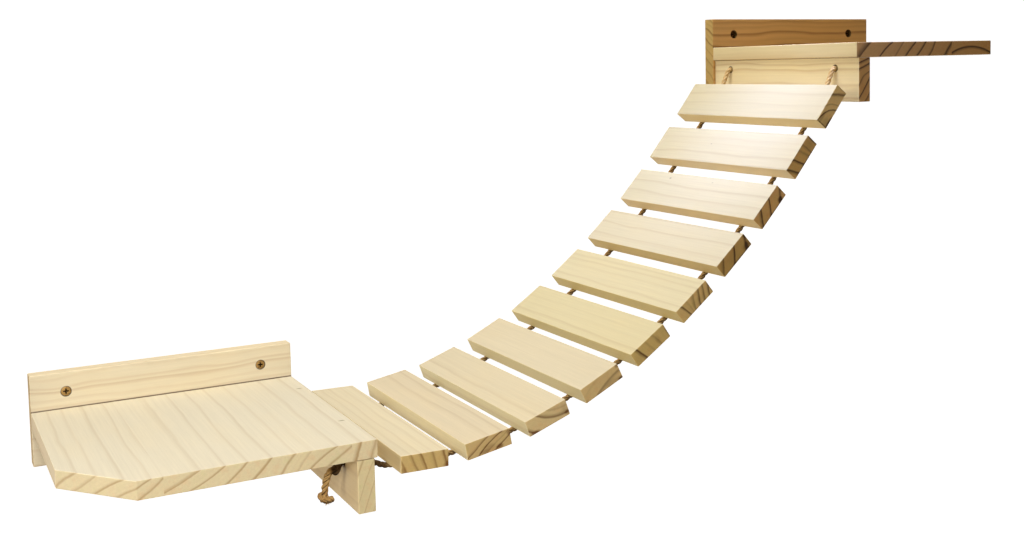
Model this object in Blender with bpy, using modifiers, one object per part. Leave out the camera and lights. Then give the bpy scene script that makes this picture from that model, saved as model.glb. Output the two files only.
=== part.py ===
"""Cat wall bridge: two wall-hung platforms joined by a hanging walkway of slats on two ropes.

Metres, +Z up. X runs along the wall, +Y points into the wall and the wall's face is Y = 0.
The origin is the middle of the lower back board's rear face.
"""
import math

import bmesh
import bpy
from mathutils import Matrix, Vector

for old in list(bpy.data.objects):
    bpy.data.objects.remove(old, do_unlink=True)

# ---------------------------------------------------------------- driving dimensions
BOARD_T = 0.018            # every board and slat is the same stock
FIT = 0.0003               # gap between pieces that touch
EASE = 0.0008              # eased edge of the boards
PLATFORM_LEN = 0.290       # along the wall
SHELF_REACH = 0.300        # wall to the shelf's front edge
BOARD_ABOVE = 0.040        # back board above the shelf's top
BOARD_BELOW = 0.060        # back board below the shelf's top
CLIP_ALONG = 0.060         # cut-off outer front corner, along the wall
CLIP_DEEP = 0.072          # and along the depth
BRACKET_DROP = 0.072       # shelf's top to the bracket's bottom edge
BRACKET_INSET = 0.0035     # bracket behind the shelf's bridge end
ROPE_HOLE_DROP = 0.031     # shelf's top to the rope holes' centres
ROPE_HOLE_R = 0.0045

SLAT_LEN = 0.282
SLAT_W = 0.052
SLAT_BACK_Y = -0.0195      # slats' wall end
# slope of each slat, from the lower platform up
SLAT_ANGLES = [math.radians(a) for a in (-1.1, 9.9, 19.4, 25.5, 33.8, 37.8, 42.0, 47.0, 50.4, 52.1)]
# slope of the bare rope before each slat, and after the last
ROPE_ANGLES = [math.radians(a) for a in (-22.9, 4.0, 9.9, 21.0, 23.3, 33.1, 41.2, 44.9, 50.1, 51.5, 59.6)]
ROPE_GAP = 0.0223          # bare rope between two slats
ROPE_FIRST = 0.0290        # bare rope at the lower bracket
ROPE_LAST = 0.0373         # bare rope at the upper bracket
ROPE_R = 0.0030
ROPE_Y = {"rear": -0.0533, "front": -0.2592}

KNOT_R = 0.0070
TAIL_OUT = 0.0125          # from the stopper knot's centre to the hanging tail
TAIL_DROP = 0.0300         # from the stopper knot's centre to the end knot's centre

WALL_SCREW_IN = 0.037      # from the board's ends
WALL_SCREW_UP = 0.0187     # above the shelf's top
WALL_SCREW_HEAD_R = 0.0052
WALL_SCREW_R = 0.0025
WALL_SCREW_LEN = 0.050
WALL_SCREW_SUNK = {"lower": 0.0009, "upper": 0.0045}   # heads below the board's front face
BACK_SCREW_R = 0.0019
BACK_SCREW_HEAD_R = 0.0038
BACK_SCREW_LEN = 0.045
SHELF_STAPLE_Y = (-0.0775, -0.2220)
SHELF_STAPLE_IN = 0.0095   # from the shelf's bridge end

# ---------------------------------------------------------------- where the platforms end
LOWER_END_X = PLATFORM_LEN / 2
LOWER_TOP_Z = (BOARD_BELOW - BOARD_ABOVE) / 2
ROPE_LIFT = ROPE_R + FIT   # rope's axis below a slat's underside


def heading(angle):
    return Vector((math.cos(angle), math.sin(angle)))


# rope line in the XZ plane: from the lower hole's mouth, under every slat, to the upper hole's mouth
mouth_low = Vector((LOWER_END_X - BRACKET_INSET, LOWER_TOP_Z - ROPE_HOLE_DROP))
slat_starts, slat_ends = [], []
point = mouth_low + ROPE_FIRST * heading(ROPE_ANGLES[0])
for index, angle in enumerate(SLAT_ANGLES):
    slat_starts.append(point)
    end = point + SLAT_W * heading(angle)
    slat_ends.append(end)
    last = index == len(SLAT_ANGLES) - 1
    point = end + (ROPE_LAST if last else ROPE_GAP) * heading(ROPE_ANGLES[index + 1])
mouth_high = point
UPPER_END_X = mouth_high.x - BRACKET_INSET
UPPER_TOP_Z = mouth_high.y + ROPE_HOLE_DROP

# hinge line before each slat: the rope's bend at the lower bracket, then the middle of each gap
BEND_OUT = 0.002
bend_low = mouth_low + Vector((BEND_OUT, 0.0))
bend_high = mouth_high - Vector((2 * BEND_OUT, 0.0))
hinges = [bend_low] + [(a + b) / 2 for a, b in zip(slat_ends[:-1], slat_starts[1:])]

# ---------------------------------------------------------------- collections and materials
scene = bpy.context.scene
parts = bpy.data.collections.new("cat_wall_bridge")
cutters = bpy.data.collections.new("cutters")
scene.collection.children.link(parts)
scene.collection.children.link(cutters)
PINE, ROPE, BRASS, ZINC = (0.80, 0.66, 0.45), (0.62, 0.47, 0.28), (0.70, 0.52, 0.20), (0.62, 0.62, 0.60)


def finish(obj, colour, rough=0.6, metal=0.0):
    mat = bpy.data.materials.new(obj.name)
    mat.use_nodes = True
    shader = mat.node_tree.nodes["Principled BSDF"]
    shader.inputs["Base Color"].default_value = (*colour, 1.0)
    shader.inputs["Roughness"].default_value = rough
    shader.inputs["Metallic"].default_value = metal
    obj.data.materials.clear()
    obj.data.materials.append(mat)
    return obj


def place(name, mesh, cutter=False):
    obj = bpy.data.objects.new(name, mesh)
    (cutters if cutter else parts).objects.link(obj)
    if cutter:
        obj.hide_render = True
        obj.display_type = "WIRE"
    return obj


def boxes(name, spans, cutter=False):
    """One mesh of separate boxes, each from its low corner to its high corner."""
    bm = bmesh.new()
    for low, high in spans:
        size = [h - l for l, h in zip(low, high)]
        mid = [(h + l) / 2 for l, h in zip(low, high)]
        bmesh.ops.create_cube(bm, size=1.0, matrix=Matrix.Translation(mid) @ Matrix.Diagonal((*size, 1.0)))
    mesh = bpy.data.meshes.new(name)
    bm.to_mesh(mesh)
    bm.free()
    return place(name, mesh, cutter)


def rods(name, spans, radius, sides=24, cutter=False):
    """One mesh of separate cylinders along X, each (start x, end x, y, z)."""
    bm = bmesh.new()
    for x0, x1, y, z in spans:
        turn = Matrix.Translation(((x0 + x1) / 2, y, z)) @ Matrix.Rotation(math.pi / 2, 4, "Y")
        bmesh.ops.create_cone(bm, cap_ends=True, segments=sides, radius1=radius, radius2=radius, depth=x1 - x0, matrix=turn)
    mesh = bpy.data.meshes.new(name)
    bm.to_mesh(mesh)
    bm.free()
    return place(name, mesh, cutter)


def turned(name, spots, profile, sides=28, cutter=False):
    """One mesh of separate turned solids about Y: profile is (y, radius) from pole to pole, spots are (x, z)."""
    bm = bmesh.new()
    for x, z in spots:
        rings = []
        for y, r in profile:
            if r == 0.0:
                rings.append([bm.verts.new((x, y, z))])
            else:
                rings.append([bm.verts.new((x + r * math.cos(a), y, z + r * math.sin(a)))
                              for a in (2 * math.pi * i / sides for i in range(sides))])
        for one, two in zip(rings[:-1], rings[1:]):
            for i in range(sides):
                j = (i + 1) % sides
                if len(one) == 1:
                    bm.faces.new((one[0], two[i], two[j]))
                elif len(two) == 1:
                    bm.faces.new((one[i], two[0], one[j]))
                else:
                    bm.faces.new((one[i], two[i], two[j], one[j]))
    bmesh.ops.recalc_face_normals(bm, faces=bm.faces)
    mesh = bpy.data.meshes.new(name)
    bm.to_mesh(mesh)
    bm.free()
    return place(name, mesh, cutter)


def outline(name, corners, low, high, plane="XY"):
    """A flat outline made thick. In plane XY it spans low to high in Z, in plane YZ in X."""
    curve = bpy.data.curves.new(name, "CURVE")
    curve.dimensions = "2D"
    curve.fill_mode = "BOTH"
    curve.extrude = (high - low) / 2
    spline = curve.splines.new("POLY")
    spline.points.add(len(corners) - 1)
    for spot, (a, b) in zip(spline.points, corners):
        spot.co = (a, b, 0.0, 1.0)
    spline.use_cyclic_u = True
    tool = bpy.data.objects.new(name + "_outline", curve)
    scene.collection.objects.link(tool)
    if plane == "XY":
        tool.matrix_world = Matrix.Translation((0, 0, (high + low) / 2))
    else:
        tool.matrix_world = Matrix.Translation(((high + low) / 2, 0, 0)) @ Matrix(
            ((0, 0, 1, 0), (1, 0, 0, 0), (0, 1, 0, 0), (0, 0, 0, 1)))
    bpy.context.view_layer.update()
    mesh = bpy.data.meshes.new_from_object(tool.evaluated_get(bpy.context.evaluated_depsgraph_get()))
    mesh.transform(tool.matrix_world)
    bpy.data.objects.remove(tool, do_unlink=True)
    bm = bmesh.new()
    bm.from_mesh(mesh)
    bmesh.ops.remove_doubles(bm, verts=bm.verts, dist=1e-6)
    bmesh.ops.recalc_face_normals(bm, faces=bm.faces)
    bm.to_mesh(mesh)
    bm.free()
    mesh.name = name
    return place(name, mesh)


def ease(obj, width=EASE, segments=2):
    mod = obj.modifiers.new("eased", "BEVEL")
    mod.width = width
    mod.segments = segments
    mod.limit_method = "ANGLE"
    mod.angle_limit = math.radians(30)
    return obj


def cut(obj, *tools, operation="DIFFERENCE"):
    for tool in tools:
        mod = obj.modifiers.new(tool.name, "BOOLEAN")
        mod.object = tool
        mod.operation = operation
        mod.solver = "EXACT"
    return obj


def cross_recess(name, spots, face_y, inward, reach, deep):
    """Two slots that cross in each screw's head; inward is the way into the head along Y."""
    made = []
    half = reach * 0.22
    for tag, (a, b) in {"flat": (reach, half), "tall": (half, reach)}.items():
        spans = [((x - a, min(face_y - inward * 0.001, face_y + inward * deep), z - b),
                  (x + a, max(face_y - inward * 0.001, face_y + inward * deep), z + b)) for x, z in spots]
        made.append(boxes(f"{name}_{tag}", spans, cutter=True))
    return made


# ---------------------------------------------------------------- platforms
def platform(tag, end_x, way, top_z):
    """end_x is the bridge end, way points from it to the outer end (-1 or +1)."""
    def xs(a, b):
        return sorted((end_x + way * a, end_x + way * b))

    x0, x1 = xs(0.0, PLATFORM_LEN)
    under = top_z - BOARD_T

    # back board
    board = ease(boxes(f"back_board_{tag}", [((x0, -BOARD_T, top_z - BOARD_BELOW), (x1, 0.0, top_z + BOARD_ABOVE))]))
    finish(board, PINE)
    wall_spots = [(x, top_z + WALL_SCREW_UP) for x in (x0 + WALL_SCREW_IN, x1 - WALL_SCREW_IN)]
    sunk = -BOARD_T + WALL_SCREW_SUNK[tag]
    r, h = WALL_SCREW_R, WALL_SCREW_HEAD_R
    cut(board, turned(f"wall_holes_{tag}", wall_spots,
                      [(-BOARD_T - 0.002, 0.0), (-BOARD_T - 0.002, h + 0.0005), (sunk + 0.0005, h + 0.0005),
                       (sunk + 0.0005 + h - r, r + 0.0004), (0.002, r + 0.0004), (0.002, 0.0)], cutter=True))

    # shelf with its outer front corner cut off
    corners = [(end_x, -BOARD_T - FIT), (end_x, -SHELF_REACH),
               (end_x + way * (PLATFORM_LEN - CLIP_ALONG), -SHELF_REACH),
               (end_x + way * PLATFORM_LEN, -SHELF_REACH + CLIP_DEEP),
               (end_x + way * PLATFORM_LEN, -BOARD_T - FIT)]
    shelf = finish(ease(outline(f"shelf_{tag}", corners, under, top_z)), PINE)

    # bracket on edge under the bridge end
    b0, b1 = xs(BRACKET_INSET, BRACKET_INSET + BOARD_T)
    bracket = ease(boxes(f"bracket_{tag}", [((b0, -SHELF_REACH, top_z - BRACKET_DROP), (b1, -BOARD_T - FIT, under - FIT))]))
    finish(bracket, PINE)
    cut(bracket, rods(f"rope_holes_{tag}", [(b0 - 0.002, b1 + 0.002, y, top_z - ROPE_HOLE_DROP) for y in ROPE_Y.values()],
                      ROPE_HOLE_R, cutter=True))

    # screws into the wall
    for side, spot in zip(("left", "right"), wall_spots):
        screw = turned(f"wall_screw_{tag}_{side}", [spot],
                       [(sunk, 0.0), (sunk, h - 0.0002), (sunk + 0.0003, h), (sunk + 0.0003 + h - r, r),
                        (sunk + WALL_SCREW_LEN - 0.007, r), (sunk + WALL_SCREW_LEN, 0.0004), (sunk + WALL_SCREW_LEN, 0.0)])
        finish(screw, BRASS, 0.35, 1.0)
        cut(screw, *cross_recess(f"recess_{tag}_{side}", [spot], sunk, 1, 0.0026, 0.0022))

    # screws from behind into the shelf and the bracket
    mid = top_z - BOARD_T / 2
    back_spots = {"outer": (end_x + way * (PLATFORM_LEN - 0.045), mid), "inner": (end_x + way * 0.060, mid),
                  "bracket": (end_x + way * (BRACKET_INSET + BOARD_T / 2), top_z - 0.045)}
    r, h = BACK_SCREW_R, BACK_SCREW_HEAD_R
    face = -0.0004
    for side, spot in back_spots.items():
        screw = turned(f"back_screw_{tag}_{side}", [spot],
                       [(face, 0.0), (face, h - 0.0002), (face - 0.0003, h), (face - 0.0003 - (h - r), r),
                        (face - BACK_SCREW_LEN + 0.006, r), (face - BACK_SCREW_LEN, 0.0003), (face - BACK_SCREW_LEN, 0.0)], sides=24)
        finish(screw, ZINC, 0.35, 1.0)
        cut(screw, *cross_recess(f"back_recess_{tag}_{side}", [spot], face, -1, 0.0020, 0.0016))
    seats = [(0.002, 0.0), (0.002, h + 0.0004), (face - 0.0006, h + 0.0004), (face - 0.0006 - (h - r), r + 0.0003),
             (-BOARD_T - 0.0002, r + 0.0003), (-BOARD_T - 0.0002, 0.0)]
    cut(board, turned(f"back_seats_{tag}", list(back_spots.values()), [(y, q) for y, q in seats[:-2]]
                      + [(-BOARD_T - 0.001, r + 0.0003), (-BOARD_T - 0.001, 0.0)], sides=24, cutter=True))
    pilot = [(-BOARD_T + 0.002, 0.0), (-BOARD_T + 0.002, r + 0.0003), (face - BACK_SCREW_LEN - 0.0005, r + 0.0003),
             (face - BACK_SCREW_LEN - 0.0005, 0.0)]
    cut(shelf, turned(f"shelf_pilots_{tag}", [back_spots["outer"], back_spots["inner"]], pilot, sides=24, cutter=True))
    cut(bracket, turned(f"bracket_pilot_{tag}", [back_spots["bracket"]], pilot, sides=24, cutter=True))

    # fine staples down through the shelf into the bracket
    leg, wire, crown, sink, length = 0.0010, 0.0012, 0.0068, 0.0004, 0.0300
    cx = end_x + way * SHELF_STAPLE_IN
    legs, crowns = [], []
    for place_name, y in zip(("rear", "front"), SHELF_STAPLE_Y):
        top = top_z - sink
        a, b = cx - crown / 2, cx + crown / 2
        staple = upright_staple(f"shelf_staple_{tag}_{place_name}", a, b, leg, top, length, wire, y)
        finish(staple, ZINC, 0.35, 1.0)
        slack = 0.0002
        crowns.append(((a - slack, y - wire / 2 - slack, top - leg - slack), (b + slack, y + wire / 2 + slack, top_z + 0.001)))
        for q in (a, b - leg):
            legs.append(((q - slack, y - wire / 2 - slack, top - length - 0.0003),
                         (q + leg + slack, y + wire / 2 + slack, top - leg / 2)))
    leg_tool = boxes(f"staple_legs_{tag}", legs, cutter=True)
    cut(shelf, boxes(f"staple_crowns_{tag}", crowns, cutter=True), leg_tool)
    cut(bracket, leg_tool)


def upright_staple(name, a, b, leg, top, length, wire, y):
    """Crown along X from a to b, legs down from it; wire is its width along Y."""
    corners = [(a, top), (b, top), (b, top - length), (b - leg, top - length), (b - leg, top - leg),
               (a + leg, top - leg), (a + leg, top - length), (a, top - length)]
    obj = outline(name, [(x, z) for x, z in corners], -wire / 2, wire / 2)
    # the outline lies in XY: stand it up so that its second axis is Z
    obj.data.transform(Matrix.Translation((0, y, 0)) @ Matrix.Rotation(math.pi / 2, 4, "X"))
    return obj


platform("lower", LOWER_END_X, -1, LOWER_TOP_Z)
platform("upper", UPPER_END_X, 1, UPPER_TOP_Z)

# ---------------------------------------------------------------- slats and their staples
STAPLE_WIRE, STAPLE_WIDE, STAPLE_LEG = 0.0014, 0.0014, 0.0100
STAPLE_IN = ROPE_R + 0.0004            # inner half width, beside the rope
for number, (hinge, start, angle) in enumerate(zip(hinges, slat_starts, SLAT_ANGLES), 1):
    # local frame: origin on the hinge line, X up along the slat, Z out of its top
    offset = Matrix.Rotation(-angle, 2) @ (start - hinge)
    frame = Matrix.Translation((hinge.x, 0.0, hinge.y)) @ Matrix.Rotation(-angle, 4, "Y")
    low = offset.y + ROPE_LIFT
    slat = ease(boxes(f"slat_{number:02d}", [((offset.x, SLAT_BACK_Y - SLAT_LEN, low), (offset.x + SLAT_W, SLAT_BACK_Y, low + BOARD_T))]))
    finish(slat, PINE)
    slat.matrix_world = frame
    mid = offset.x + SLAT_W / 2
    slots = []
    for side, y in ROPE_Y.items():
        inner, outer = STAPLE_IN, STAPLE_IN + STAPLE_WIRE
        crown_top = low - ROPE_LIFT - ROPE_R - FIT
        corners = [(y - outer, low + STAPLE_LEG), (y - inner, low + STAPLE_LEG), (y - inner, crown_top),
                   (y + inner, crown_top), (y + inner, low + STAPLE_LEG), (y + outer, low + STAPLE_LEG),
                   (y + outer, crown_top - STAPLE_WIRE), (y - outer, crown_top - STAPLE_WIRE)]
        staple = outline(f"slat_{number:02d}_staple_{side}", corners, mid - STAPLE_WIDE / 2, mid + STAPLE_WIDE / 2, plane="YZ")
        finish(staple, ZINC, 0.35, 1.0)
        staple.matrix_world = frame
        for q in (y - outer, y + inner):
            slots.append(((mid - STAPLE_WIDE / 2 - 0.0002, q - 0.0002, low - 0.001),
                          (mid + STAPLE_WIDE / 2 + 0.0002, q + STAPLE_WIRE + 0.0002, low + STAPLE_LEG + 0.0003)))
    tool = boxes(f"slat_slots_{number:02d}", slots, cutter=True)
    tool.matrix_world = frame
    cut(slat, tool)


# ---------------------------------------------------------------- ropes
def rounded(corners, radius, steps=3):
    """The path through corners with each corner turned in an arc of about this radius."""
    path = [corners[0]]
    for before, here, after in zip(corners[:-2], corners[1:-1], corners[2:]):
        a, b = (before - here), (after - here)
        room = 0.45 * min(a.length, b.length)
        a.normalize()
        b.normalize()
        turn = math.pi - a.angle(b)
        reach = min(room, radius * math.tan(turn / 2))
        if turn < 1e-4:
            path.append(here)
            continue
        one, two = here + a * reach, here + b * reach
        for i in range(steps + 1):
            t = i / steps
            path.append(one * (1 - t) ** 2 + here * 2 * t * (1 - t) + two * t * t)
    path.append(corners[-1])
    return path


def rope_tube(name, path, radius, cutter=False):
    """A round rope along the path, as a closed mesh."""
    curve = bpy.data.curves.new(name, "CURVE")
    curve.dimensions = "3D"
    curve.bevel_depth = radius
    curve.bevel_resolution = 2
    curve.use_fill_caps = True
    spline = curve.splines.new("POLY")
    spline.points.add(len(path) - 1)
    for spot, p in zip(spline.points, path):
        spot.co = (*p, 1.0)
    tool = bpy.data.objects.new(name + "_line", curve)
    scene.collection.objects.link(tool)
    bpy.context.view_layer.update()
    mesh = bpy.data.meshes.new_from_object(tool.evaluated_get(bpy.context.evaluated_depsgraph_get()))
    bpy.data.objects.remove(tool, do_unlink=True)
    bm = bmesh.new()
    bm.from_mesh(mesh)
    bmesh.ops.remove_doubles(bm, verts=bm.verts, dist=1e-6)
    bmesh.ops.recalc_face_normals(bm, faces=bm.faces)
    bm.to_mesh(mesh)
    bm.free()
    mesh.name = name
    return place(name, mesh, cutter)


def knot(name, centre, size):
    bm = bmesh.new()
    bmesh.ops.create_uvsphere(bm, u_segments=20, v_segments=12, radius=1.0,
                              matrix=Matrix.Translation(centre) @ Matrix.Diagonal((*size, 1.0)))
    mesh = bpy.data.meshes.new(name)
    bm.to_mesh(mesh)
    bm.free()
    return place(name, mesh, cutter=True)


LOWER_BACK_X = LOWER_END_X - BRACKET_INSET - BOARD_T      # bracket faces that the stopper knots bear on
UPPER_BACK_X = UPPER_END_X + BRACKET_INSET + BOARD_T
for side, y in ROPE_Y.items():
    low_z, high_z = mouth_low.y, mouth_high.y
    low_knot = Vector((LOWER_BACK_X - FIT - KNOT_R, y, low_z - 0.001))
    high_knot = Vector((UPPER_BACK_X + FIT + KNOT_R, y, high_z - 0.001))
    corners = [Vector((low_knot.x, y, low_z)), Vector((bend_low.x, y, bend_low.y))]
    for start, end, angle in zip(slat_starts, slat_ends, SLAT_ANGLES):
        step = 0.001 * heading(angle)
        corners.append(Vector((start.x - step.x, y, start.y - step.y)))
        corners.append(Vector((end.x + step.x, y, end.y + step.y)))
    corners.append(Vector((bend_high.x, y, bend_high.y)))
    corners.append(Vector((high_knot.x, y, high_z)))
    rope = finish(rope_tube(f"rope_{side}", rounded(corners, 0.0056), ROPE_R), ROPE, 0.9)
    tail = [low_knot, low_knot + Vector((-TAIL_OUT * 0.8, 0, -0.001)), low_knot + Vector((-TAIL_OUT, 0, -0.009)),
            low_knot + Vector((-TAIL_OUT, 0, -TAIL_DROP))]
    end_knot = low_knot + Vector((-TAIL_OUT + 0.001, 0, -TAIL_DROP))
    cut(rope,
        knot(f"stopper_low_{side}", low_knot, (KNOT_R, KNOT_R, KNOT_R)),
        knot(f"stopper_high_{side}", high_knot, (KNOT_R, KNOT_R, KNOT_R)),
        rope_tube(f"tail_{side}", rounded(tail, 0.006), ROPE_R, cutter=True),
        knot(f"end_knot_{side}", end_knot, (KNOT_R + 0.0008, KNOT_R, KNOT_R + 0.0006)),
        operation="UNION")
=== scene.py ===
"""Looks of the cat wall bridge: camera, studio light, pine, twisted rope, screws and staples."""
import math

import bmesh
import bpy
import numpy as np
from mathutils import Matrix, Vector


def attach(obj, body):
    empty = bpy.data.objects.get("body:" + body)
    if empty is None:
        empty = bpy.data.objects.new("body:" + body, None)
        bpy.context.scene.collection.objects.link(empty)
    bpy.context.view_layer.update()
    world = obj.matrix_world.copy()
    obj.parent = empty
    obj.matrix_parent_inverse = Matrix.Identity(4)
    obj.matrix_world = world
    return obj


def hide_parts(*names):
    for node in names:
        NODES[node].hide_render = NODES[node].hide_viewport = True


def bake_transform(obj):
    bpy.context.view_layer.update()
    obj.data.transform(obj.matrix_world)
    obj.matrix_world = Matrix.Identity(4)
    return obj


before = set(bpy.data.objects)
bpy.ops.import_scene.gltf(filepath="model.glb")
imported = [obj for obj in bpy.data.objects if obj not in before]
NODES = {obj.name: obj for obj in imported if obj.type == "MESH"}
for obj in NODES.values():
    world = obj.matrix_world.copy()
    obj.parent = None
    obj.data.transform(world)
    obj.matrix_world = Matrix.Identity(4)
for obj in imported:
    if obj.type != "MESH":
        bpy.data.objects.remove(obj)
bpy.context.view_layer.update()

scene = bpy.context.scene

# ---------------------------------------------------------------- camera
YAW, PITCH, ROLL = math.radians(-27.5398), math.radians(-4.3672), math.radians(-1.2275)
cam_data = bpy.data.cameras.new("camera")
cam_data.sensor_width = 36.0
cam_data.lens = 41.695
cam_data.shift_y = -0.1068
cam_data.clip_start, cam_data.clip_end = 0.01, 200.0
camera = bpy.data.objects.new("camera", cam_data)
scene.collection.objects.link(camera)
ahead = Vector((-math.sin(YAW) * math.cos(PITCH), math.cos(YAW) * math.cos(PITCH), math.sin(PITCH)))
right = Vector((math.cos(YAW), math.sin(YAW), 0.0))
up = right.cross(ahead)
right, up = (math.cos(ROLL) * right + math.sin(ROLL) * up, -math.sin(ROLL) * right + math.cos(ROLL) * up)
camera.matrix_world = Matrix.Translation((-0.2601, -1.3755, 0.3722)) @ Matrix((right, up, -ahead)).transposed().to_4x4()
scene.camera = camera

# ---------------------------------------------------------------- the frame's own dimensions, from the CAD
BOARD_T, FIT = 0.018, 0.0003
LOWER_END_X, LOWER_TOP_Z = 0.145, 0.010
PLATFORM_LEN, SHELF_REACH = 0.290, 0.300
BRACKET_INSET, ROPE_HOLE_DROP = 0.0035, 0.031
SLAT_LEN, SLAT_W, SLAT_BACK_Y = 0.282, 0.052, -0.0195
SLAT_ANGLES = [math.radians(a) for a in (-1.1, 9.9, 19.4, 25.5, 33.8, 37.8, 42.0, 47.0, 50.4, 52.1)]
ROPE_ANGLES = [math.radians(a) for a in (-22.9, 4.0, 9.9, 21.0, 23.3, 33.1, 41.2, 44.9, 50.1, 51.5, 59.6)]
ROPE_GAP, ROPE_FIRST, ROPE_LAST = 0.0223, 0.0290, 0.0373
ROPE_R = 0.0030
ROPE_Y = {"rear": -0.0533, "front": -0.2592}
KNOT_R, TAIL_OUT, TAIL_DROP = 0.0070, 0.0125, 0.0300
ROPE_LIFT = ROPE_R + FIT


def heading(angle):
    return Vector((math.cos(angle), math.sin(angle)))


mouth_low = Vector((LOWER_END_X - BRACKET_INSET, LOWER_TOP_Z - ROPE_HOLE_DROP))
slat_starts, slat_ends = [], []
point = mouth_low + ROPE_FIRST * heading(ROPE_ANGLES[0])
for index, angle in enumerate(SLAT_ANGLES):
    slat_starts.append(point)
    end = point + SLAT_W * heading(angle)
    slat_ends.append(end)
    last = index == len(SLAT_ANGLES) - 1
    point = end + (ROPE_LAST if last else ROPE_GAP) * heading(ROPE_ANGLES[index + 1])
mouth_high = point
UPPER_END_X = mouth_high.x - BRACKET_INSET
UPPER_TOP_Z = mouth_high.y + ROPE_HOLE_DROP
bend_low = mouth_low + Vector((0.002, 0.0))
bend_high = mouth_high - Vector((0.004, 0.0))
hinges = [bend_low] + [(a + b) / 2 for a, b in zip(slat_ends[:-1], slat_starts[1:])]
LOWER_BACK_X = LOWER_END_X - BRACKET_INSET - BOARD_T
UPPER_BACK_X = UPPER_END_X + BRACKET_INSET + BOARD_T


# ---------------------------------------------------------------- node helper
class Tree:
    """Small helper that adds nodes to a material and links numbers or sockets into them."""

    def __init__(self, name):
        self.mat = bpy.data.materials.new(name)
        self.mat.use_nodes = True
        self.t = self.mat.node_tree
        self.shader = self.t.nodes["Principled BSDF"]
        self.coord = self.t.nodes.new("ShaderNodeTexCoord")

    def put(self, socket, value):
        if isinstance(value, bpy.types.NodeSocket):
            self.t.links.new(value, socket)
        elif value is not None:
            socket.default_value = value

    def math(self, op, a, b=None, c=None, clamp=False):
        n = self.t.nodes.new("ShaderNodeMath")
        n.operation, n.use_clamp = op, clamp
        for s, v in zip(n.inputs, (a, b, c)):
            self.put(s, v)
        return n.outputs[0]

    def vec(self, op, a, b=None, out=0):
        n = self.t.nodes.new("ShaderNodeVectorMath")
        n.operation = op
        self.put(n.inputs[0], a)
        if b is not None:
            self.put(n.inputs[1], b)
        return n.outputs[out]

    def dot(self, a, b):
        return self.vec("DOT_PRODUCT", a, b, out=1)

    def xyz(self, x, y, z):
        n = self.t.nodes.new("ShaderNodeCombineXYZ")
        for s, v in zip(n.inputs, (x, y, z)):
            self.put(s, v)
        return n.outputs[0]

    def noise(self, vector, scale=1.0, detail=2.0, rough=0.5, distort=0.0, colour=False):
        n = self.t.nodes.new("ShaderNodeTexNoise")
        self.put(n.inputs["Vector"], vector)
        n.inputs["Scale"].default_value = scale
        n.inputs["Detail"].default_value = detail
        n.inputs["Roughness"].default_value = rough
        n.inputs["Distortion"].default_value = distort
        return n.outputs["Color"] if colour else n.outputs["Fac"]

    def smooth(self, value, low, high, to_low=0.0, to_high=1.0):
        n = self.t.nodes.new("ShaderNodeMapRange")
        n.interpolation_type = "SMOOTHSTEP"
        for key, v in (("Value", value), ("From Min", low), ("From Max", high), ("To Min", to_low), ("To Max", to_high)):
            self.put(n.inputs[key], v)
        return n.outputs["Result"]

    def ramp(self, value, stops, interpolation="LINEAR"):
        n = self.t.nodes.new("ShaderNodeValToRGB")
        n.color_ramp.interpolation = interpolation
        self.put(n.inputs["Fac"], value)
        e = n.color_ramp.elements
        while len(e) > 1:
            e.remove(e[-1])
        for i, (at, colour) in enumerate(stops):
            if not hasattr(colour, "__len__"):
                colour = (colour, colour, colour)
            spot = e[0] if i == 0 else e.new(at)
            spot.position = at
            spot.color = (*colour, 1.0)
        return n.outputs["Color"]

    def mix(self, factor, a, b, blend="MIX"):
        n = self.t.nodes.new("ShaderNodeMix")
        n.data_type = "RGBA"
        n.blend_type = blend
        sockets = {s.identifier: s for s in n.inputs}
        self.put(sockets["Factor_Float"], factor)
        self.put(sockets["A_Color"], (*a, 1.0) if isinstance(a, tuple) else a)
        self.put(sockets["B_Color"], (*b, 1.0) if isinstance(b, tuple) else b)
        return next(s for s in n.outputs if s.identifier == "Result_Color")

    def bump(self, height, strength, distance, normal=None):
        n = self.t.nodes.new("ShaderNodeBump")
        n.inputs["Strength"].default_value = strength
        n.inputs["Distance"].default_value = distance
        self.put(n.inputs["Height"], height)
        if normal is not None:
            self.put(n.inputs["Normal"], normal)
        return n.outputs["Normal"]


def srgb(r, g, b):
    """A colour given as it looks on a screen, as linear values."""
    return tuple(v / 12.92 if v <= 0.04045 else ((v + 0.055) / 1.055) ** 2.4 for v in (r / 255, g / 255, b / 255))


def dress(node, mat):
    obj = NODES[node] if isinstance(node, str) else node
    obj.data.materials.clear()
    obj.data.materials.append(mat)


# ---------------------------------------------------------------- pine
def ring_profile(marks, low, high, rng):
    """Ramp stops over low to high for (place, depth, room before, room after): pale wood, then a soft dark line at each place."""
    span = high - low
    stops = []
    for at, depth, before, after in marks:
        pale = 0.03 + 0.06 * rng.random()
        stops.append((at - before * 0.80, pale))
        if len(marks) <= 6:
            stops.append((at - before * 0.34, 0.46 * depth))
            stops.append((at, depth))
            stops.append((at + after * 0.20, 0.74 * depth))
        else:
            stops.append((at, depth))
        stops.append((at + after * 0.46, 0.03))
    made, last = [], -1.0
    for at, value in sorted(((p - low) / span, v) for p, v in stops):
        at = max(at, last + 0.0003)
        if 0.0 <= at <= 1.0:
            made.append((at, value))
            last = at
    return made[:32]


def scaled(colour, by):
    return tuple(min(c * b, 1.0) for c, b in zip(colour, by))


FACE = (srgb(240, 226, 196), srgb(190, 160, 116))
END = (srgb(214, 186, 134), srgb(84, 48, 16))


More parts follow.
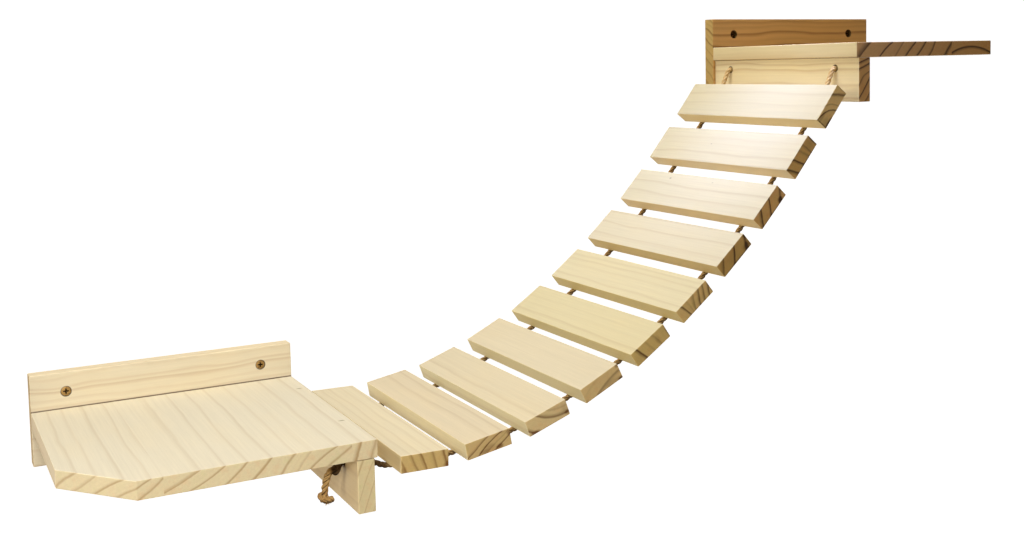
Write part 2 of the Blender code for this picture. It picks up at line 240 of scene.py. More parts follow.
def pine(name, middle, across, thick, grain, half, staves, seed, face=FACE, end=END, sawn=None, face_deep=0.30, end_deep=0.9,
         drift=3.0, front=1.0, tint=1.0, seams=(), holes=(), stains_and_shade=(), nicks_and_shade=(), clip=1.0):
    """Sawn pine. middle is the board's middle, across, thick and grain its axes, half its half sizes along them in mm.

    staves lists the strips that the board is glued from, each with the limit of across where it ends. A strip's growth
    rings are either lines, each (across at the upper face, across at the lower face, depth), or circles round a pith.
    face, sawn and end are pale and dark wood on the wide faces, the sawn long edges and the ends.
    seams are painted contact shadows along the joints: (axis 0 to 2, place, width, strength, axis and side of the only
    face it shows on or None).
    darker patches on the ends are (across, thick, half width, half height, depth), partly the wood's own and partly
    painted shade at corners and edges; on the upper face the same with a place along the grain instead of through the
    thickness, as nick marks, and as painted shade round sunk staple crowns.
    clip is the tone of a face sawn at 45 degrees to the grain.
    """
    t = Tree(name)
    rng = np.random.default_rng(seed)
    base = t.vec("SUBTRACT", t.coord.outputs["Object"], tuple(middle))
    a = t.dot(base, tuple(1000 * Vector(across)))
    h = t.dot(base, tuple(1000 * Vector(thick)))
    g = t.dot(base, tuple(1000 * Vector(grain)))
    axes = (a, h, g)
    facing = t.math("ABSOLUTE", t.dot(t.coord.outputs["Normal"], tuple(grain)))
    ends = t.smooth(facing, 0.42, 0.74)
    from_end = t.math("SUBTRACT", half[2], t.math("MULTIPLY", g, front))
    shift = tuple(float(v) for v in rng.uniform(-40, 40, 3))

    def field(ka, kg, detail=2.0, rough=0.5):
        spot = t.xyz(t.math("MULTIPLY", a, ka), t.math("MULTIPLY", h, ka), t.math("MULTIPLY", g, kg))
        return t.noise(t.vec("ADD", spot, shift), 1.0, detail, rough)

    # slow wander of the rings along the grain, none of it at the front end
    held = t.smooth(from_end, 2.0, 110.0)
    wander = t.math("MULTIPLY", t.math("MULTIPLY", t.math("SUBTRACT", field(0.014, 0.0060), 0.5), held), drift * 7.0)
    ripple = t.math("MULTIPLY", t.math("SUBTRACT", field(0.16, 0.010, 3.0), 0.5), 1.5)
    wobble = t.math("ADD", wander, ripple)
    moved = t.math("ADD", a, wobble)
    level = t.math("DIVIDE", t.math("ADD", h, half[1]), 2 * half[1])

    rings, before = None, None
    for k, stave in enumerate(staves):
        if "lines" in stave:
            lines = sorted(stave["lines"], key=lambda l: l[0] + l[1])
            n = len(lines)
            tops, lows = [l[0] for l in lines], [l[1] for l in lines]
            low, high = min(tops + lows) - 40.0, max(tops + lows) + 40.0

            def count(places):
                gaps = [max(q - p, 3.0) for p, q in zip(places, places[1:])] or [12.0]
                marks = [(places[0] - 40.0, -40.0 / gaps[0])] + [(p, float(i)) for i, p in enumerate(places)]
                marks.append((places[-1] + 40.0, n - 1 + 40.0 / gaps[-1]))
                return [((p - low) / (high - low), (v + 20.0) / (n + 40.0)) for p, v in marks if low <= p <= high]
            place = t.math("DIVIDE", t.math("SUBTRACT", moved, low), high - low)
            upper, lower = (t.math("SUBTRACT", t.math("MULTIPLY", t.ramp(place, count(v)), n + 40.0), 20.0) for v in (tops, lows))
            number = t.math("ADD", t.math("MULTIPLY", level, upper), t.math("MULTIPLY", t.math("SUBTRACT", 1.0, level), lower))
            marks = []
            for i, l in enumerate(lines):
                gap_before = ((tops[i] + lows[i]) - (tops[i - 1] + lows[i - 1])) / 2 if i else 10.0
                gap_after = ((tops[i + 1] + lows[i + 1]) - (tops[i] + lows[i])) / 2 if i + 1 < n else 10.0
                marks.append((float(i), l[2], min(4.2 / max(gap_before, 3.0), 0.9), min(4.2 / max(gap_after, 3.0), 0.9)))
            value = t.math("DIVIDE", t.math("ADD", number, 1.0), n + 1.0)
            made = t.ramp(value, ring_profile(marks, -1.0, float(n), rng))
            steps = t.math("MULTIPLY", number, 7.0)
        else:
            px, py = stave["pith"]
            rx, ry = t.math("SUBTRACT", moved, px), t.math("SUBTRACT", h, py)
            steps = t.math("SQRT", t.math("ADD", t.math("MULTIPLY", rx, rx), t.math("MULTIPLY", ry, ry)))
            radii = sorted(stave["radii"])
            low, high = radii[0][0] - 15.0, radii[-1][0] + 15.0
            value = t.math("DIVIDE", t.math("SUBTRACT", steps, low), high - low)
            made = t.ramp(value, ring_profile([(r, d, 4.2, 4.2) for r, d in radii], low, high, rng))
            steps = t.math("MULTIPLY", steps, 0.6)
        fine = t.noise(t.xyz(steps, float(seed + 7 * k), t.math("MULTIPLY", g, 0.0012)), 1.0, 2.0, 0.6)
        made = t.math("ADD", made, t.math("MULTIPLY", t.math("SUBTRACT", fine, 0.5), 0.17), clamp=True)
        rings = made if rings is None else t.mix(t.math("GREATER_THAN", a, before), rings, made)
        before = stave.get("limit", 1e6)

    # fibres, flecks and slow patches
    fibre = field(2.1, 0.035, 4.0, 0.62)
    streak = field(0.42, 0.009, 3.0, 0.55)
    patch = field(0.018, 0.009)
    fleck = t.smooth(field(1.3, 0.13, 1.0, 0.4), 0.70, 0.80)
    pores = t.noise(t.vec("ADD", base, shift), 900.0, 3.0, 0.65)

    # darker patches on the ends: partly the wood's own, partly painted shade at corners and edges
    for u, v, ru, rv, depth in stains_and_shade:
        pu, pv = t.math("DIVIDE", t.math("SUBTRACT", a, u), ru), t.math("DIVIDE", t.math("SUBTRACT", h, v), rv)
        away = t.math("SQRT", t.math("ADD", t.math("MULTIPLY", pu, pu), t.math("MULTIPLY", pv, pv)))
        rings = t.math("ADD", rings, t.math("MULTIPLY", t.smooth(away, 0.25, 1.15, depth, 0.0), ends), clamp=True)

    flat = t.mix(t.math("MULTIPLY", rings, face_deep), face[0], face[1])
    if sawn is not None:
        edge_on = t.math("ABSOLUTE", t.dot(t.coord.outputs["Normal"], tuple(across)))
        flat = t.mix(t.smooth(edge_on, 0.5, 0.8), flat, t.mix(t.math("MULTIPLY", rings, face_deep), sawn[0], sawn[1]))
    blotch = t.noise(t.vec("ADD", base, tuple(v + 3.0 for v in shift)), 95.0, 3.0, 0.6)
    cut = t.mix(t.smooth(blotch, 0.30, 0.50, 0.45, 0.0), end[0], scaled(end[0], (0.92, 0.98, 0.84)))
    cut = t.mix(t.smooth(blotch, 0.50, 0.72, 0.0, 0.55), cut, scaled(end[0], (1.0, 0.87, 0.80)))
    cut = t.mix(t.math("MULTIPLY", rings, end_deep), cut, end[1])
    colour = t.mix(ends, flat, cut)
    tone = t.math("ADD", 1.0, t.math("MULTIPLY", t.math("SUBTRACT", fibre, 0.5), t.smooth(ends, 0.0, 1.0, 0.13, 0.05)))
    tone = t.math("ADD", tone, t.math("MULTIPLY", t.math("SUBTRACT", streak, 0.5), 0.15))
    tone = t.math("ADD", tone, t.math("MULTIPLY", t.math("SUBTRACT", patch, 0.5), 0.08))
    tone = t.math("ADD", tone, t.math("MULTIPLY", t.math("SUBTRACT", pores, 0.5), t.smooth(ends, 0.0, 1.0, 0.03, 0.14)))
    tone = t.math("SUBTRACT", tone, t.math("MULTIPLY", fleck, t.smooth(ends, 0.0, 1.0, 0.06, 0.0)))
    # sanded edges, a little paler and cleaner
    da, dh, dg = (t.math("SUBTRACT", s, t.math("ABSOLUTE", v)) for s, v in zip(half, axes))
    edge = t.math("MAXIMUM", t.math("MINIMUM", da, dh), t.math("MINIMUM", t.math("MAXIMUM", da, dh), dg))
    tone = t.math("ADD", tone, t.math("MULTIPLY", t.smooth(edge, 0.2, 1.5, 1.0, 0.0), 0.05))
    # painted contact shadow along the joints
    seam_shadow = None
    for axis, place, width, strength, only in seams:
        near = t.smooth(t.math("ABSOLUTE", t.math("SUBTRACT", axes[axis], place)), width * 0.25, width, strength, 0.0)
        if only is not None:
            face_axis, side = only
            reach = half[face_axis]
            near = t.math("MULTIPLY", near, t.smooth(t.math("MULTIPLY", axes[face_axis], side), reach - 0.6, reach - 0.1))
        seam_shadow = near if seam_shadow is None else t.math("MAXIMUM", seam_shadow, near)
    # painted shade inside the drilled holes: centre in the two axes across the drill, radius
    for (axis_a, axis_b), centre, radius, strength in holes:
        pa, pb = t.math("SUBTRACT", axes[axis_a], centre[0]), t.math("SUBTRACT", axes[axis_b], centre[1])
        away = t.math("SQRT", t.math("ADD", t.math("MULTIPLY", pa, pa), t.math("MULTIPLY", pb, pb)))
        tone = t.math("MULTIPLY", tone, t.math("SUBTRACT", 1.0, t.smooth(away, radius, radius + 0.7, strength, 0.0)))
    # dark marks on the upper face: nick marks, and painted shade round sunk staple crowns
    for u, w, ru, rw, depth in nicks_and_shade:
        pu, pw = t.math("DIVIDE", t.math("SUBTRACT", a, u), ru), t.math("DIVIDE", t.math("SUBTRACT", g, w), rw)
        away = t.math("SQRT", t.math("ADD", t.math("MULTIPLY", pu, pu), t.math("MULTIPLY", pw, pw)))
        near = t.math("MULTIPLY", t.smooth(away, 0.5, 1.1, depth, 0.0), t.smooth(h, half[1] - 0.6, half[1] - 0.1))
        tone = t.math("MULTIPLY", tone, t.math("SUBTRACT", 1.0, near))
    if clip != 1.0:
        slant = t.math("MULTIPLY", t.smooth(facing, 0.60, 0.68), t.smooth(facing, 0.74, 0.82, 1.0, 0.0))
        tone = t.math("MULTIPLY", tone, t.math("SUBTRACT", 1.0, t.math("MULTIPLY", slant, 1.0 - clip)))
    tone = t.math("MULTIPLY", tone, tint)
    colour = t.mix(1.0, colour, t.xyz(tone, tone, tone), "MULTIPLY")
    warm = t.math("MULTIPLY", t.smooth(patch, 0.35, 0.75), 0.30)
    colour = t.mix(warm, colour, t.mix(1.0, colour, (1.0, 0.95, 0.84), "MULTIPLY"))
    # painted contact shadow along the joints, dark brown
    if seam_shadow is not None:
        colour = t.mix(seam_shadow, colour, srgb(74, 42, 18))
    t.put(t.shader.inputs["Base Color"], colour)

    rough = t.math("ADD", 0.50, t.math("MULTIPLY", fibre, 0.16))
    rough = t.math("ADD", rough, t.math("MULTIPLY", ends, 0.12))
    t.put(t.shader.inputs["Roughness"], rough)
    t.shader.inputs["Specular IOR Level"].default_value = 0.35
    relief = t.math("ADD", t.math("MULTIPLY", fibre, 0.5), t.math("MULTIPLY", rings, 0.35))
    relief = t.math("ADD", relief, t.math("MULTIPLY", pores, t.smooth(ends, 0.0, 1.0, 0.1, 0.7)))
    t.put(t.shader.inputs["Normal"], t.bump(relief, 0.35, 0.00025))
    return t.mat


# growth rings on each slat's front end: where a line meets the top and the underside, mm from the lower edge, and its depth
SLAT_RINGS = {
    1: [(-3, 6, .6), (10.3, 18.5, .6), (20.5, 28, .75), (34, 39, .6), (45.5, 51, .85)],
    2: [(28, -4, .85), (43, 12, 1), (52, 21, .35), (62, 31, 1)],
    5: [(8.4, 15, 1), (22, 27.5, .3), (33, 38.5, .35), (53, 53, .6)],
    6: [(8, 13.5, .9), (17, 18.5, .25), (28.5, 21.5, .5), (38, 29.5, .8), (45.5, 37, .7), (55, 45, .9)],
    7: [(13, -2, .75), (33, 19, 1), (51, 42, .85)],
    8: [(16, 2.5, .9), (33, 19.5, 1), (56, 39.5, .8)],
    9: [(1, 9, .95), (15.5, 21.5, 1), (29, 34, .4), (38, 39, .5), (52, 53, .8)],
    10: [(-2, 27, 1), (20, 33, .45), (37, 49, .85)],
}
SLAT_PITHS = {3: ((48.0, 54.0), [(41.5, .3), (49.2, .85), (67.0, .95)]), 4: ((66.0, -109.0), [(111.0, .12), (120.6, .6), (133.0, .15)])}
# darker patches on the front ends, partly the wood's own and partly painted shade at the corners and along the lower
# edge: mm from the lower edge, mm from the underside, half sizes, depth
SLAT_STAINS_AND_SHADE = {
    1: [(2, 2, 5, 5, .3), (51, 1, 6, 5, .6), (52, 9, 2.5, 12, .3)],
    2: [(20, 3, 7, 3, .5), (27, 6, 8, 4, .3), (38, 3, 5, 3, .8), (51, 14, 4, 4, .6), (43, 18, 5, 3, .3), (0, 0, 5, 5, .2)],
    3: [(7, 1, 8, 3.2, .75), (50, 4, 5, 3, .5), (48, 9, 6, 4, .2), (26, 0, 30, 1.4, .3)],
    4: [(38, 3, 14, 4, .25), (51, 17, 4, 4, .6), (50, 1, 6, 3, .8), (26, 0, 30, 1.5, .4), (1, 1, 4, 4, .2)],
    5: [(52.5, 8, 2.6, 12, .6), (6, 6, 8, 9, .1), (26, 0, 30, 1.5, .3), (37, 8, 4, 7, .2)],
    6: [(28, 6, 20, 6, .1), (52.5, 6, 2.4, 9, .7), (26, 0, 30, 1.7, .45)],
    7: [(26, 0, 32, 2.6, .75), (46, 4, 8, 6, .5), (52.5, 14, 3, 6, .7), (22, 9, 14, 9, .1)],
    8: [(42, 3, 5, 4.5, .9), (26, 0, 32, 2.2, .7), (52.5, 9, 2.2, 12, .5), (12, 8, 12, 9, .1), (26, 18, 30, 1.5, .4)],
    9: [(52.5, 9, 3.5, 12, .8), (26, 0, 32, 2.2, .8), (44, 10, 8, 9, .2), (26, 18, 30, 1.4, .4)],
    10: [(7, 0.5, 13, 3.2, 1.0), (0, 9, 2.5, 12, .7), (7, 14, 12, 3.5, .35), (6, 6, 8, 6, .25), (52.5, 9, 2.5, 12, .35)],
}
# how each slat's faces, sawn edges and ends differ from the common pine; matched to each slat's look where it hangs,
# they hold painted light and shade besides the slat's own tone
SLAT_FACE = {1: (.93, .94, .90), 2: (.86, .85, .82), 3: (.865, .87, .84), 4: (.87, .88, .86), 5: (.87, .89, .78), 6: (.92, .95, .89),
             7: (.93, .98, 1.05), 8: (.92, .975, 1.03), 9: (.85, .89, .89), 10: (.75, .765, .69)}
SLAT_SAWN = {1: (.94, .91, .74), 2: (1.08, 1.12, 1.0), 3: (1.0, 1.05, .97), 4: (.92, .93, .77), 5: (.90, .89, .63), 6: (.88, .84, .53),
             7: (.87, .80, .51), 8: (.99, .92, .72), 9: (.99, .96, .82), 10: (.92, .85, .58)}
SLAT_END = {1: (.96, .98, .84), 2: (.96, .99, .95), 3: (1.08, 1.19, 1.30), 4: (1.07, 1.11, 1.08), 5: (.99, 1.02, .80), 6: (1.12, 1.13, .96),
            7: (.83, .75, .51), 8: (1.04, .91, .68), 9: (.99, .89, .59), 10: (1.21, 1.20, .90)}
SLAT_NICKS = {8: [(17.0, -64.0, 1.6, 2.4, .35), (18.0, 25.0, 1.2, 2.0, .2)], 9: [(3.0, -26.0, 0.9, 1.6, .35)]}
for k, (hinge, start, angle) in enumerate(zip(hinges, slat_starts, SLAT_ANGLES), 1):
    a_dir = Vector((math.cos(angle), 0, math.sin(angle)))
    n_dir = Vector((-math.sin(angle), 0, math.cos(angle)))
    corner = Vector((start.x, 0, start.y)) + n_dir * ROPE_LIFT
    centre = corner + a_dir * SLAT_W / 2 + n_dir * BOARD_T / 2
    centre.y = SLAT_BACK_Y - SLAT_LEN / 2
    if k in SLAT_PITHS:
        (px, py), radii = SLAT_PITHS[k]
        stave = {"pith": (px - 26.0, py - 9.0), "radii": radii}
    else:
        stave = {"lines": [(p - 26.0, q - 26.0, d) for p, q, d in SLAT_RINGS[k]]}
    # ring line colour on the ends, darker from slat 1 up to slat 10: partly painted shade on the higher slats' ends
    line = (srgb(120, 78, 34), srgb(104, 66, 28), srgb(84, 52, 22), srgb(60, 36, 14))[0 if k == 1 else 1 if k < 4 else 2 if k < 7 else 3]
    dress(f"slat_{k:02d}", pine(
        f"pine_slat_{k:02d}", centre, a_dir, n_dir, Vector((0, -1, 0)), (26.0, 9.0, 141.0), [stave], 100 + k,
        face=tuple(scaled(c, SLAT_FACE[k]) for c in FACE), sawn=tuple(scaled(c, SLAT_SAWN[k]) for c in FACE),
        end=(scaled(END[0], SLAT_END[k]), line), end_deep=0.95,
        face_deep=0.26, drift=2.2, nicks_and_shade=SLAT_NICKS.get(k, ()),
        stains_and_shade=[(u - 26.0, v - 9.0, ru, rv, d) for u, v, ru, rv, d in SLAT_STAINS_AND_SHADE[k]]))

# platforms: shelves and brackets run front to back, back boards along the wall
LOWER_SHELF = [
    {"limit": -61.0, "lines": [(-151, -168, .4), (-130, -146, .8), (-115, -132, .6), (-94, -117, .9), (-72, -100, .8), (-60, -84, .7)]},
    {"limit": 118.6, "lines": [(-28, -67, .7), (-5, -38, .8), (16, -5, .85), (39, 21, .9), (62, 48, .7), (78, 64, .35), (104, 76, .8), (122, 94, .7)]},
    {"lines": [(128, 122, .9), (143.5, 137.5, .6)]},
]
UPPER_SHELF = [
    {"limit": 14.5, "lines": [(-122, -141, .8), (-86, -108, 1), (-68, -82, .5), (-47, -65, .95), (-30, -46, .95), (-14, -25, .8), (16, 2, .9)]},
    {"pith": (49.0, -80.0), "radii": [(66.0, .3), (81.5, .9), (97.0, .6)]},
]
BRACKET_LINES = {
    "lower": [(-18, -65, .3), (6, -42, .5), (27, -17, .45), (52, 11, .6)],
    "upper": [(-15, -37, .7), (2.5, -23, .9), (10, -7, .6), (19.5, 12.5, .9), (26.5, 20, .9)],
}
BOARD_LINES = {
    "lower": [(-38, -52, .6), (-22, -36, .5), (-6, -20, .6), (10, -6, .5), (26, 14, .45), (34, 22, .35), (43, 33, .85), (48, 37.5, .6), (58, 48, .35)],
    "upper": [(-38, -52, .6), (-22, -36, .5), (-6, -20, .6), (10, -6, .5), (27, 12, 1), (35, 21, .25), (41, 31, 1), (49, 40, .3), (56, 46.5, .55)],
}
PINES = {
    "lower": {
        "shelf": dict(face=tuple(scaled(c, (.90, .945, 1.0)) for c in FACE), sawn=(srgb(236, 220, 184), srgb(190, 156, 108)),
                      end=(srgb(228, 216, 179), srgb(158, 116, 58)), end_deep=0.80, face_deep=0.30, drift=2.0, clip=0.90),
        "bracket": dict(face=(srgb(226, 206, 162), srgb(178, 138, 84)), end=(srgb(224, 211, 168), srgb(158, 116, 60)), end_deep=0.80),
        "board": dict(face=(srgb(224, 214, 188), srgb(170, 122, 66)), sawn=(srgb(240, 224, 188), srgb(200, 160, 104)),
                      end=(srgb(216, 192, 146), srgb(150, 110, 60)), face_deep=0.36, drift=5.0),
    },
    # the upper platform's browner, darker colours are partly painted shade
    "upper": {
        "shelf": dict(face=(srgb(222, 196, 150), srgb(150, 108, 60)), sawn=(srgb(220, 203, 154), srgb(172, 128, 68)),
                      end=(srgb(212, 172, 114), srgb(26, 12, 3)), end_deep=1.0, face_deep=0.42),
        "bracket": dict(face=(srgb(236, 220, 175), srgb(186, 146, 86)), sawn=(srgb(222, 196, 150), srgb(150, 108, 60)),
                        end=(srgb(204, 160, 94), srgb(24, 12, 3)), end_deep=1.0, face_deep=0.46),
        "board": dict(face=(srgb(210, 168, 105), srgb(124, 76, 34)), sawn=(srgb(185, 145, 76), srgb(108, 68, 28)),
                      end=(srgb(190, 160, 93), srgb(100, 62, 20)), face_deep=0.62, end_deep=0.70),
    },
}
for tag, end_x, way, top_z in (("lower", LOWER_END_X, -1, LOWER_TOP_Z), ("upper", UPPER_END_X, 1, UPPER_TOP_Z)):
    seed = 20 if tag == "lower" else 40
    woods = PINES[tag]
    mid_x = end_x + way * PLATFORM_LEN / 2
    front_y = -(SHELF_REACH + 0.018) / 2
    dress(f"shelf_{tag}", pine(
        f"pine_shelf_{tag}", Vector((mid_x, front_y, top_z - BOARD_T / 2)), Vector((1, 0, 0)), Vector((0, 0, 1)), Vector((0, -1, 0)),
        (145.0, 9.0, 141.0), LOWER_SHELF if tag == "lower" else UPPER_SHELF, seed, seams=[(2, -141.0, 1.5, 0.8, (1, 1))],
        # dark marks round the shelf staples: painted shade round their sunk crowns
        nicks_and_shade=[(-way * 135.5, -(y - front_y) * 1000, 4.3, 1.2, 0.60) for y in (-0.0775, -0.2220)], **woods["shelf"]))
    bx = end_x + way * (BRACKET_INSET + BOARD_T / 2)
    hole_z = (0.045 - ROPE_HOLE_DROP) * 1000
    rope_holes = [((0, 2), (hole_z, -(y - front_y) * 1000), 4.3, 0.75) for y in ROPE_Y.values()]
    dress(f"bracket_{tag}", pine(
        f"pine_bracket_{tag}", Vector((bx, front_y, top_z - 0.045)), Vector((0, 0, 1)), Vector((1, 0, 0)), Vector((0, -1, 0)),
        (27.0, 9.0, 141.0), [{"lines": BRACKET_LINES[tag]}], seed + 1, seams=[(0, 27.0, 1.1, 0.7, None)], holes=rope_holes,
        **woods["bracket"]))
    screw_holes = [((0, 2), (28.7, s * (PLATFORM_LEN / 2 - 0.037) * 1000), 5.5, 0.8) for s in (-1, 1)]
    dress(f"back_board_{tag}", pine(
        f"pine_back_board_{tag}", Vector((mid_x, -BOARD_T / 2, top_z - 0.010)), Vector((0, 0, 1)), Vector((0, 1, 0)), Vector((1, 0, 0)),
        (50.0, 9.0, 145.0),
        [{"lines": BOARD_LINES[tag]}],
        seed + 2, seams=[(0, 10.0, 1.6, 0.85, (1, -1))], holes=screw_holes, **woods["board"]))


def metal(name, colour, rough=0.3, seed=1, grime_deep=0.55, head_y=None):
    """Plated or drawn metal with grime. With head_y, a screw's cross recess and the rim near the head's face are
    painted dark as shade.
    """
    t = Tree(name)
    spot = t.vec("ADD", t.coord.outputs["Object"], (seed * 1.3, 0.0, 0.0))
    grime = t.noise(spot, 380.0, 3.0, 0.6)
    fine = t.noise(spot, 2600.0, 2.0, 0.5)
    dark = tuple(c * (1 - grime_deep) for c in colour)
    tone = t.mix(t.smooth(grime, 0.45, 0.75), colour, dark)
    if head_y is not None:
        # painted shade: dark in the cross recess and round the head's rim, near the head's face
        away = t.math("ABSOLUTE", t.math("SUBTRACT", t.dot(t.coord.outputs["Object"], (0.0, 1.0, 0.0)), head_y))
        aside = t.smooth(t.math("ABSOLUTE", t.dot(t.coord.outputs["Normal"], (0.0, 1.0, 0.0))), 0.80, 0.98, 1.0, 0.0)
        sunk = t.math("MAXIMUM", t.smooth(away, 0.0004, 0.0011), t.math("MULTIPLY", aside, 0.85))
        tone = t.mix(t.math("MULTIPLY", sunk, t.smooth(away, 0.0028, 0.0034, 1.0, 0.0)), tone, srgb(44, 26, 14))
    t.put(t.shader.inputs["Base Color"], tone)
    t.shader.inputs["Metallic"].default_value = 1.0
    t.put(t.shader.inputs["Roughness"], t.math("ADD", rough, t.math("MULTIPLY", grime, 0.25)))
    t.put(t.shader.inputs["Normal"], t.bump(fine, 0.15, 0.00005))
    return t.mat


# the upper screws' brass is a darker copy of the lower, painted shade for heads sunk 4.5 mm into their holes
BRASS = {"lower": metal("brass_plate_lower", srgb(190, 155, 100), 0.30, 1, 0.5, -BOARD_T + 0.0009),
         "upper": metal("brass_plate_upper_shaded", srgb(120, 88, 50), 0.42, 4, 0.6, -BOARD_T + 0.0045)}
ZINC = metal("zinc_plate", srgb(198, 199, 200), 0.30, 2, 0.5, -0.0004)
STEEL = metal("steel_wire", srgb(186, 188, 190), 0.32, 3)
DULL_STEEL = metal("dull_steel_wire", srgb(112, 108, 102), 0.48, 5)


def new_piece(name, verts, faces, mat, uvs=None, smooth=True):
    """A mesh object from corner and face lists, with its material and optional (u, v) for each corner."""
    mesh = bpy.data.meshes.new(name)
    mesh.from_pydata([tuple(v) for v in verts], [], faces)
    mesh.materials.append(mat)
    if uvs is not None:
        layer = mesh.uv_layers.new(name="along")
        index = np.empty(len(mesh.loops), np.int32)
        mesh.loops.foreach_get("vertex_index", index)
        layer.data.foreach_set("uv", np.asarray(uvs, np.float32)[index].ravel())
    if smooth:
        mesh.polygons.foreach_set("use_smooth", [True] * len(mesh.polygons))
    obj = bpy.data.objects.new(name, mesh)
    scene.collection.objects.link(obj)
    return obj


# ---------------------------------------------------------------- screws
def screw(name, spot, face_y, inward, head_r, shank_r, length, reach, deep, mat, body, old):
    """A countersunk cross-head wood screw along Y, head face at face_y, point at face_y + inward * length."""
    sides, verts, faces = 40, [], []
    pitch, core = shank_r * 0.95, shank_r * 0.72
    cone = (head_r - shank_r) * 0.95
    smooth_to, point = length * 0.30, length - shank_r * 3.2
    profile = [(0.0, 0.0), (0.0, head_r * 0.55), (0.0, head_r - 0.00035), (0.0001, head_r - 0.0001), (0.0004, head_r),
               (0.0007, head_r - 0.00005), (0.0007 + cone * 0.35, head_r - 0.35 * (head_r - shank_r)),
               (0.0007 + cone * 0.75, head_r - 0.80 * (head_r - shank_r)), (0.0007 + cone, shank_r * 0.96), (smooth_to, shank_r * 0.94)]
    rows = [("ring", d, r) for d, r in profile]
    d = smooth_to + pitch / 8
    while d < length - 0.0004:
        rows.append(("thread", d, 0.0))
        d += pitch / 8
    rows.append(("tip", length, 0.0))
    grid = []
    for kind, d, r in rows:
        if kind == "tip" or r == 0.0 and kind == "ring":
            grid.append([len(verts)])
            verts.append((spot[0], face_y + inward * d, spot[1]))
            continue
        row = []
        for i in range(sides):
            th = 2 * math.pi * i / sides
            rr = r
            if kind == "thread":
                phase = (d / pitch - i / sides) % 1.0
                crest = max(0.0, 1.0 - abs(phase - 0.5) / 0.30) ** 1.2
                grow = min((d - smooth_to) / pitch, 1.0)
                taper = min((length - d) / (length - point), 1.0)
                rr = (core + (shank_r - core) * (0.85 * (1 - grow) + grow * crest)) * max(taper, 0.06) ** 0.8
            row.append(len(verts))
            verts.append((spot[0] + rr * math.cos(th), face_y + inward * d, spot[1] + rr * math.sin(th)))
        grid.append(row)
    for one, two in zip(grid[:-1], grid[1:]):
        for i in range(sides):
            j = (i + 1) % sides
            if len(one) == 1:
                faces.append((one[0], two[i], two[j]))
            elif len(two) == 1:
                faces.append((one[i], two[0], one[j]))
            else:
                faces.append((one[i], two[i], two[j], one[j]))
    obj = new_piece(name, verts, faces, mat, smooth=False)
    tool_verts, tool_faces = [], []
    for turn in (0, 1):
        base = len(tool_verts)
        for dd, w, t in ((-0.0006, reach * 1.10, reach * 0.27), (deep, reach * 0.42, reach * 0.17)):
            for sx, sz in ((-1, -1), (1, -1), (1, 1), (-1, 1)):
                x, z = (w * sx, t * sz) if turn == 0 else (t * sx, w * sz)
                tool_verts.append((spot[0] + x, face_y + inward * dd, spot[1] + z))
        tool_faces += [tuple(base + q for q in f) for f in ((0, 1, 2, 3), (7, 6, 5, 4), (0, 4, 5, 1), (1, 5, 6, 2), (2, 6, 7, 3), (3, 7, 4, 0))]
    halves = []
    for part in (0, 1):
        v = tool_verts[part * 8:part * 8 + 8]
        f = tool_faces[:6]
        tool = new_piece(f"{name}_recess_{part}", v, f, mat, smooth=False)
        halves.append(tool)
    for thing in [obj] + halves:
        bm = bmesh.new()
        bm.from_mesh(thing.data)
        bmesh.ops.recalc_face_normals(bm, faces=bm.faces)
        bm.to_mesh(thing.data)
        bm.free()
    for tool in halves:
        mod = obj.modifiers.new("recess", "BOOLEAN")
        mod.object, mod.operation, mod.solver = tool, "DIFFERENCE", "EXACT"
    bpy.context.view_layer.update()
    made = bpy.data.meshes.new_from_object(obj.evaluated_get(bpy.context.evaluated_depsgraph_get()))
    obj.modifiers.clear()
    obj.data = made
    for tool in halves:
        bpy.data.objects.remove(tool, do_unlink=True)
    made.polygons.foreach_set("use_smooth", [True] * len(made.polygons))
    made.set_sharp_from_angle(angle=math.radians(38))
    obj.name = name
    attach(obj, body)
    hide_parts(old)
    return obj


for tag, end_x, way, top_z in (("lower", LOWER_END_X, -1, LOWER_TOP_Z), ("upper", UPPER_END_X, 1, UPPER_TOP_Z)):
    sunk = {"lower": 0.0009, "upper": 0.0045}[tag]
    xs = sorted((end_x + way * 0.037, end_x + way * (PLATFORM_LEN - 0.037)))
    for side, x in zip(("left", "right"), xs):
        screw(f"wall_screw_{tag}_{side}_fine", (x, top_z + 0.0187), -BOARD_T + sunk, 1, 0.0052, 0.0025, 0.050, 0.0031, 0.0026,
              BRASS[tag], "platforms", f"wall_screw_{tag}_{side}")
    spots = {"outer": (end_x + way * (PLATFORM_LEN - 0.045), top_z - BOARD_T / 2), "inner": (end_x + way * 0.060, top_z - BOARD_T / 2),
             "bracket": (end_x + way * (BRACKET_INSET + BOARD_T / 2), top_z - 0.045)}
    for side, spot_xz in spots.items():
        screw(f"back_screw_{tag}_{side}_fine", spot_xz, -0.0004, -1, 0.0038, 0.0019, 0.045, 0.0021, 0.0019,
              ZINC, "platforms", f"back_screw_{tag}_{side}")


